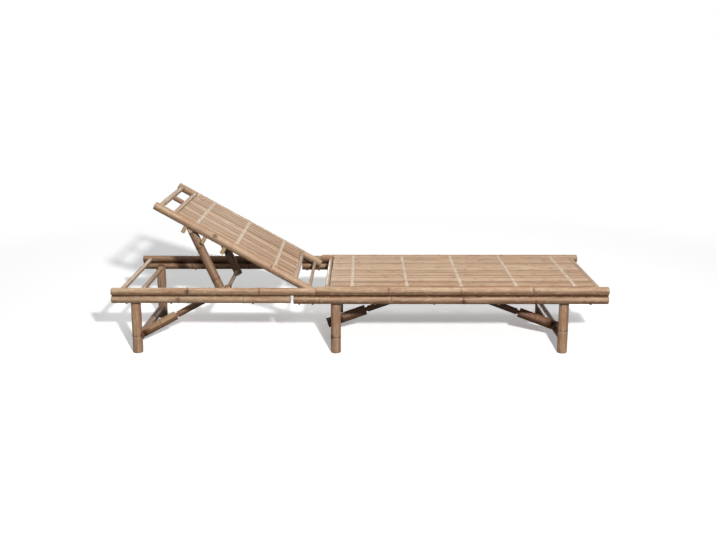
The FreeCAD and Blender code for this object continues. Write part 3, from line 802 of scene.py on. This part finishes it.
back = {
    "railY": 268.5 * mm, "railRadius": 17 * mm, "tail": 30 * mm, "length": 702 * mm, "bow": 0.6 * mm,
    "pitch": {1: 236 * mm, -1: 255 * mm}, "first": {1: 150 * mm, -1: 209 * mm},
    "knotSide": (0, -1, 0.3), "knotSizes": (0.4, 1.0),
    "barRise": 3 * mm, "barRadius": 11.5 * mm, "barHalf": 254 * mm,
    "bars": {
        "backTopBar": ("backrest_top_bar", 682 * mm, (-150, 60)),
        "backSecondBar": ("backrest_second_bar", 618 * mm, (-95, 140)),
        "backBottomBar": ("backrest_bottom_bar", 69 * mm, (-40, 170)),
    },
    "middleAt": 628 * mm, "middleLength": 44 * mm, "middleRadius": 11 * mm,
    "battens": (168.1, 344.8, 522.2),  # places along the backrest in mm
    "battenRise": 2.5 * mm, "battenRadius": 8.5 * mm,
}
for sideName, sideTail, side in sides:
    length = back["length"] + back["tail"]
    nodes = evenNodes(length, back["pitch"][side], back["first"][side])
    piece = makeCulm(
        "backRail" + sideName, backPoint(-back["tail"], 0, side * back["railY"]), backWay, length,
        back["railRadius"], nodes, ("hollow", "hollow"), tone=0.6, bow=back["bow"],
        knotSide=back["knotSide"] if side < 0 else None, knotSizes=back["knotSizes"],
    )
    standFor(piece, "backrest", "bamboo_pole", "backrest_rail" + sideTail)
for barName, (nodeName, along, nodes) in back["bars"].items():
    middle = backPoint(along, back["barRise"], 0)
    piece = makeBar(barName, middle, back["barHalf"], back["barRadius"], nodes, tone=0.9)
    standFor(piece, "backrest", "bamboo_pole", nodeName)
piece = makeCulm(
    "headrestMiddleBar", backPoint(back["middleAt"], back["barRise"], 0), backWay, back["middleLength"],
    back["middleRadius"], [], skin=smokedSkin, tone=0.9,
)
standFor(piece, "backrest", "bamboo_pole", "headrest_middle_bar")
rows = []
for number, along in enumerate(back["battens"]):
    nodes = (-150 + 40 * number, 80 + 23 * number)
    middle = backPoint(along * mm, back["battenRise"], 0)
    rows.append(makeBar(
        "backBatten%d" % number, middle, back["barHalf"], back["battenRadius"], nodes, smokedSkin,
    ))
standFor(joined(rows, "backBattens"), "backrest", "smoked_bamboo", "backrest_battens")
print("backrest frame made")


# prop

rodLow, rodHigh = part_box("prop_top_rod")
prop = {
    "foot": Vector((-558 * mm, 0, 230 * mm)), "top": (rodLow + rodHigh) / 2, "y": 224 * mm,
    "radius": 18.5 * mm, "tail": 19 * mm, "nodes": {1: (118, 262), -1: (96, 241)},
    "rodRadius": 11.4 * mm, "rodHalf": 259 * mm, "rodNodes": (-139, 71),
}
propWay = (prop["top"] - prop["foot"]).normalized()
for sideName, sideTail, side in sides:
    start = prop["foot"] + Vector((0, side * prop["y"], 0)) - propWay * prop["tail"]
    length = (prop["top"] - prop["foot"]).length + prop["tail"] + prop["radius"]
    piece = makeCulm(
        "propPole" + sideName, start, propWay, length, prop["radius"],
        [node * mm for node in prop["nodes"][side]], ("hollow", "dome"), tone=0.42,
    )
    standFor(piece, "prop", "bamboo_pole", "prop_pole" + sideTail)
piece = makeBar("propTopRod", prop["top"], prop["rodHalf"], prop["rodRadius"], prop["rodNodes"], tone=0.95)
standFor(piece, "prop", "bamboo_pole", "prop_top_rod")
print("prop made")


# legs, stretchers and braces

legs = {
    # the upright legs take one fixed value for their painted shade
    "y": 267.2 * mm, "radius": 21 * mm, "pivot": 230 * mm, "paintedShadeFacing": 0.42,
    "stretcherRadius": 16.4 * mm, "stretcherHalf": 249 * mm,
    "sets": {
        "head": {
            "x": -912 * mm, "stretcher": 52 * mm, "nodes": (-140, 60), "tone": 0.45,
            "legNode": 73 * mm,
        },
        "middle": {
            "x": -98 * mm, "stretcher": 77 * mm, "nodes": (-90, 150), "tone": 0.32,
            "legNode": 69 * mm,
        },
        "foot": {
            "x": 831 * mm, "stretcher": 61 * mm, "nodes": (-160, 90), "tone": 0.4,
            "legNode": 96 * mm,
        },
    },
}
# places and lengths of the sets in mm: where the brace hangs, and where it lies over the stretcher
braces = {
    "tubeNode": 0.62, "strutNode": 0.45, "strutRadius": 14 * mm, "neck": 8 * mm,
    "seatHalf": 60 * mm, "seatGap": 1.4 * mm,
    "sets": {
        "head": {
            "anchor": (-558, -85, 230), "over": (-912, -195, 57),
            "beyond": 28, "tube": 190, "radius": 19,
        },
        "middle": {
            "anchor": (366, 8, 230), "over": (-98, -50, 79),
            "beyond": 44, "tube": 174, "radius": 22.5,
        },
        "foot": {
            "anchor": (366, -45, 230), "over": (831, -88, 64),
            "beyond": 28, "tube": 190, "radius": 21.5,
        },
    },
}
for setName, legSet in legs["sets"].items():
    for sideName, sideTail, side in sides:
        piece = makeCulm(
            setName + "Leg" + sideName, Vector((legSet["x"], side * legs["y"], 0)), alongZ,
            legs["pivot"] + legs["radius"], legs["radius"], [legSet["legNode"]], ("hollow", "dome"),
            tone=legSet["tone"], paintedShadeFacing=legs["paintedShadeFacing"],
        )
        standFor(piece, setName + "_legs", "bamboo_pole", setName + "_leg" + sideTail)
    middle = Vector((legSet["x"], 0, legSet["stretcher"]))
    piece = makeBar(
        setName + "Stretcher", middle, legs["stretcherHalf"], legs["stretcherRadius"], legSet["nodes"],
        smokedSkin,
    )
    standFor(piece, setName + "_legs", "bamboo_pole", setName + "_stretcher")

for setName, legSet in legs["sets"].items():
    brace = braces["sets"][setName]
    anchor, over = Vector(brace["anchor"]) * mm, Vector(brace["over"]) * mm
    way = (anchor - over).normalized()
    tubeStart, tubeLength = over - way * brace["beyond"] * mm, brace["tube"] * mm
    strutStart = tubeStart + way * (tubeLength + braces["neck"])
    strutLength = (anchor - strutStart).length + braces["strutRadius"]
    tube = makeCulm(
        setName + "BraceTube", tubeStart, way, tubeLength, brace["radius"] * mm,
        [tubeLength * braces["tubeNode"]], ("hollow", "plain"), skin=braceSkins[setName], tone=0.5,
    )
    seatMiddle = Vector((legSet["x"], over.y, legSet["stretcher"]))
    seatRadius = legs["stretcherRadius"] + braces["seatGap"]
    carve(tube, makeBar("stretcherSeat", seatMiddle, braces["seatHalf"], seatRadius, ()))
    standFor(tube, setName + "_brace", "bamboo_pole", setName + "_brace_tube")
    strut = makeCulm(
        setName + "BraceStrut", strutStart, way, strutLength, braces["strutRadius"],
        [strutLength * braces["strutNode"]], ("plain", "dome"), skin=braceSkins[setName], tone=0.4,
    )
    standFor(strut, setName + "_brace", "bamboo_pole", setName + "_brace_strut")
print("legs and braces made")

# dowels, necks and the axle keep the frame's shapes and get their wood
for node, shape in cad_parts.items():
    if node.endswith("axle") or node.startswith("catch_pegs"):
        shape.data.materials.clear()
        shape.data.materials.append(paleRodSkin if node.endswith("axle") else catchSkin)
    elif node.endswith(("_pegs", "_pegs_left", "_pegs_right", "_neck")) or node.startswith("rail_pegs"):
        shape.data.materials.clear()
        shape.data.materials.append(pegSkin)


# slats

slats = {
    "thick": 5 * mm, "edge": 1.6 * mm, "pitchOfNodes": 285 * mm, "ridge": 0.35 * mm, "ridgeHalf": 2 * mm,
    "ridgeRings": (-5 * mm, -0.8 * mm, 0.8 * mm, 5 * mm), "topShare": 0.93, "sink": 0.15 * mm,
}


# one split cane slat along X, longer than needed: lower face at z 0, rounded upper edges, node ridges
def slatBlank(length, width):
    bpy.ops.object.select_all(action="DESELECT")
    bpy.ops.mesh.primitive_cube_add(size=1, location=(length / 2, 0, slats["thick"] / 2))
    blank = bpy.context.object
    blank.scale = (length, width, slats["thick"])
    only(blank)
    bpy.ops.object.transform_apply(location=True, rotation=True, scale=True)
    bpy.ops.object.mode_set(mode="EDIT")
    bpy.ops.mesh.select_all(action="DESELECT")
    bpy.ops.object.mode_set(mode="OBJECT")
    for edge in blank.data.edges:
        a, c = (blank.data.vertices[i].co for i in edge.vertices)
        edge.select = min(a.z, c.z) > slats["thick"] * 0.9 and abs(a.x - c.x) > length / 2
    bpy.ops.object.mode_set(mode="EDIT")
    bpy.ops.mesh.select_mode(type="EDGE")
    bpy.ops.mesh.bevel(offset=slats["edge"], segments=3, affect="EDGES")
    at = slats["pitchOfNodes"] / 2
    while at < length:
        for step in slats["ridgeRings"]:
            bpy.ops.mesh.select_all(action="SELECT")
            bpy.ops.mesh.bisect(plane_co=(at + step, 0, 0), plane_no=alongX)
        at += slats["pitchOfNodes"]
    bpy.ops.object.mode_set(mode="OBJECT")
    for vertex in blank.data.vertices:
        near = (vertex.co.x / slats["pitchOfNodes"]) % 1 - 0.5
        if abs(near) * slats["pitchOfNodes"] < slats["ridgeHalf"] and vertex.co.z > slats["thick"] / 2:
            vertex.co.z += slats["ridge"] * (vertex.co.z / slats["thick"] - 0.4)
    return blank


# a row of slats along X, side by side over Y, lower faces at z 0
def laySlats(name, deck, rng):
    half, length = deck["half"], deck["to"] - deck["from"]
    pitch = 2 * half / deck["count"]
    width = pitch - deck["gap"]
    blank = slatBlank(length + 2 * slats["pitchOfNodes"], width)
    row = []
    for number in range(deck["count"]):
        slat = blank.copy()
        slat.data = blank.data.copy()
        bpy.context.scene.collection.objects.link(slat)
        only(slat)
        cut = rng.uniform(0.05, 1.0) * slats["pitchOfNodes"]
        bpy.ops.object.mode_set(mode="EDIT")
        bpy.ops.mesh.select_all(action="SELECT")
        bpy.ops.mesh.bisect(plane_co=(cut, 0, 0), plane_no=alongX, clear_inner=True, use_fill=True)
        bpy.ops.mesh.select_all(action="SELECT")
        bpy.ops.mesh.bisect(plane_co=(cut + length, 0, 0), plane_no=alongX, clear_outer=True, use_fill=True)
        bpy.ops.object.mode_set(mode="OBJECT")
        shift = Vector((rng.uniform(-5, 5), rng.uniform(-5, 5), rng.uniform(-9, 9)))
        slatTone = min(1, max(0, rng.gauss(deck["tone"], deck["toneSpread"])))
        points = [vertex.co.copy() for vertex in slat.data.vertices]
        setGrain(slat, [Vector((p.y, p.z, p.x)) + shift for p in points])
        off = [abs((p.x / slats["pitchOfNodes"]) % 1 - 0.5) * slats["pitchOfNodes"] for p in points]
        setValues(slat, "scar", [1.0 if o < slats["ridgeHalf"] else 0.0 for o in off])
        setValues(slat, "tone", [slatTone] * len(points))
        setValues(slat, "phase", [p.x / slats["pitchOfNodes"] for p in points])
        # mask for the painted shade: 1 on the sides and rounded edges below the flat top of the slat
        top = slats["thick"] * slats["topShare"]
        setValues(slat, "edge", [0.0 if p.z > top else 1.0 for p in points])
        y = -half + (number + 0.5) * pitch
        slat.location = (-cut, y, rng.uniform(-slats["sink"], 0.0))
        only(slat)
        bpy.ops.object.transform_apply(location=True, rotation=True, scale=True)
        row.append(slat)
    bpy.data.objects.remove(blank)
    return joined(row, name)


rng = random.Random(7)
seatDeck = {
    "count": 26, "half": 286 * mm, "from": -119 * mm, "to": 946 * mm, "top": 287 * mm, "gap": 1.9 * mm,
    "tone": 0.46, "toneSpread": 0.2,
}
piece = laySlats("seatSlats", seatDeck, rng)
piece.location = (seatDeck["from"], 0, seatDeck["top"] - slats["thick"])
settle(piece, "seatSlats", slatSkin, 30)
standFor(piece, "frame", "split_bamboo", "seat_slats")

backDeck = {
    "count": 23, "half": 250.5 * mm, "from": 81 * mm, "to": 606 * mm, "rise": 16 * mm, "gap": 1.3 * mm,
    "tone": 0.16, "toneSpread": 0.26,
}
piece = laySlats("backSlats", backDeck, rng)
lay = Matrix((backWay, -alongY, backUp)).transposed().to_4x4()
slatFoot = backPoint(backDeck["from"], backDeck["rise"] - slats["thick"], 0)
piece.matrix_world = Matrix.Translation(slatFoot) @ lay
settle(piece, "backSlats", slatSkin, 30)
standFor(piece, "backrest", "split_bamboo", "backrest_slats")
print("slats laid")


# cane lashings

lashing = {
    "stripWidth": 5.2 * mm, "thick": 0.9 * mm, "spread": 4.8 * mm, "lift": 0.25 * mm, "steps": 8,
    "overlap": 1.04, "dip": 2.4 * mm, "dipFrom": 0.62, "dipOver": 0.42,  # the ends dip into the gaps
    "crossLift": 0.35 * mm, "wander": 0.5 * mm, "tones": (0.0, 0.0, 0.0, 0.3, 0.8),
}


# one diagonal strip of cane over one slat, from gap to gap along Y, slat top at z 0
def lashStitch(pitch):
    bpy.ops.object.select_all(action="DESELECT")
    bpy.ops.mesh.primitive_cube_add(size=1, location=(0, 0, 0))
    stitch = bpy.context.object
    stitch.scale = (lashing["stripWidth"], pitch * lashing["overlap"], lashing["thick"])
    only(stitch)
    bpy.ops.object.transform_apply(location=True, rotation=True, scale=True)
    bpy.ops.object.mode_set(mode="EDIT")
    for step in range(1, lashing["steps"]):
        bpy.ops.mesh.select_all(action="SELECT")
        y = (step / lashing["steps"] - 0.5) * pitch
        bpy.ops.mesh.bisect(plane_co=(0, y, 0), plane_no=alongY)
    bpy.ops.object.mode_set(mode="OBJECT")
    for vertex in stitch.data.vertices:
        share = 2 * vertex.co.y / pitch
        fall = max(0.0, abs(share) - lashing["dipFrom"]) / lashing["dipOver"]
        vertex.co.x += lashing["spread"] * share
        vertex.co.z += lashing["lift"] + lashing["thick"] / 2 - lashing["dip"] * fall ** 2
    return stitch


# crossed stitches over every slat at each batten; slat tops at z 0, rows across X
def layLashings(name, count, half, places, rng):
    pitch = 2 * half / count
    stitch = lashStitch(pitch)
    strips = []
    for place in places:
        for number in range(count):
            for lean in (1, -1):
                strip = stitch.copy()
                strip.data = stitch.data.copy()
                bpy.context.scene.collection.objects.link(strip)
                shift = Vector((rng.uniform(-5, 5), rng.uniform(-5, 5), rng.uniform(-9, 9)))
                setGrain(strip, [v.co.xzy + shift for v in strip.data.vertices])
                setValues(strip, "tone", [rng.choice(lashing["tones"])] * len(strip.data.vertices))
                for vertex in strip.data.vertices:
                    vertex.co.x *= lean
                    vertex.co.z += 0.0 if lean > 0 else lashing["crossLift"]
                if lean < 0:
                    strip.data.flip_normals()
                y = -half + (number + 0.5) * pitch
                wander = rng.uniform(-lashing["wander"], lashing["wander"])
                strip.location = (place + wander, y, 0)
                strips.append(strip)
    bpy.data.objects.remove(stitch)
    whole = joined(strips, name)
    only(whole)
    bpy.ops.object.transform_apply(location=True, rotation=True, scale=True)
    return whole


places = [x * mm for x in battens["x"]]
piece = layLashings("seatLashings", seatDeck["count"], seatDeck["half"], places, rng)
piece.location = (0, 0, seatDeck["top"])
settle(piece, "seatLashings", caneSkin)
standFor(piece, "frame", "lashing", "seat_lashings")
places = [along * mm for along in back["battens"]]
piece = layLashings("backLashings", backDeck["count"], backDeck["half"], places, rng)
piece.matrix_world = Matrix.Translation(backPoint(0, backDeck["rise"], 0)) @ lay
settle(piece, "backLashings", caneSkin)
standFor(piece, "backrest", "lashing", "backrest_lashings")
print("lashings wound")
